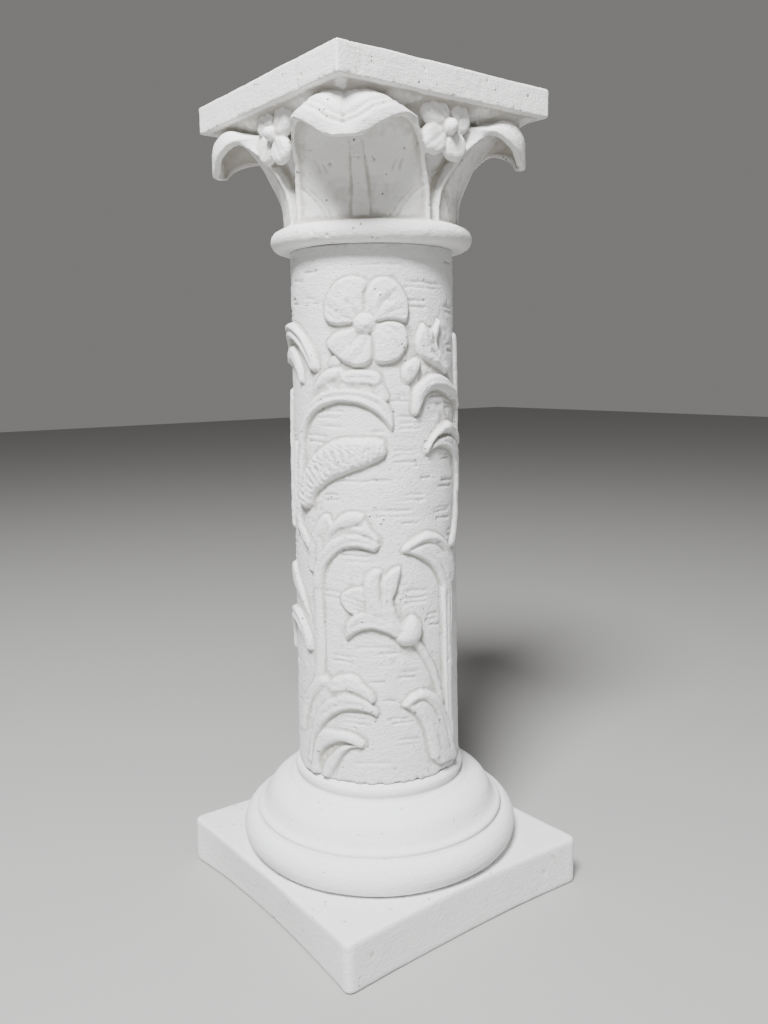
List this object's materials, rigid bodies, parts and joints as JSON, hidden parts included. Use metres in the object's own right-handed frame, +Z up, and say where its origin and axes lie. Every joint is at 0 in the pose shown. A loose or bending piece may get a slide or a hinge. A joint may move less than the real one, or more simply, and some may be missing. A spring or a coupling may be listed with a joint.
{
  "type": "decorative plaster column",
  "caption": "Cast plaster pedestal column with a square plinth, moulded round base, floral relief on the shaft and a leaf capital under a square top.",
  "frame": {"origin": "centre of the plinth's underside", "axes": "+Z up the column, X and Y along the plinth's sides; the flower and most of the relief that the picture shows face the corner between -X and -Y"},
  "size_m": [0.299, 0.299, 0.8],
  "materials": {
    "plinth_plaster": "matt white paint, dusty and greyer at the foot",
    "base_plaster": "matt white paint, brushed smooth",
    "shaft_plaster": "matt white paint with brush marks and small pits",
    "capital_plaster": "matt white paint with pits and grey shadows in the folds"
  },
  "bodies": {
    "root": {"plinth": "plinth_plaster", "round_base": "base_plaster", "shaft": "shaft_plaster", "capital": "capital_plaster"}
  },
  "joints": []
}
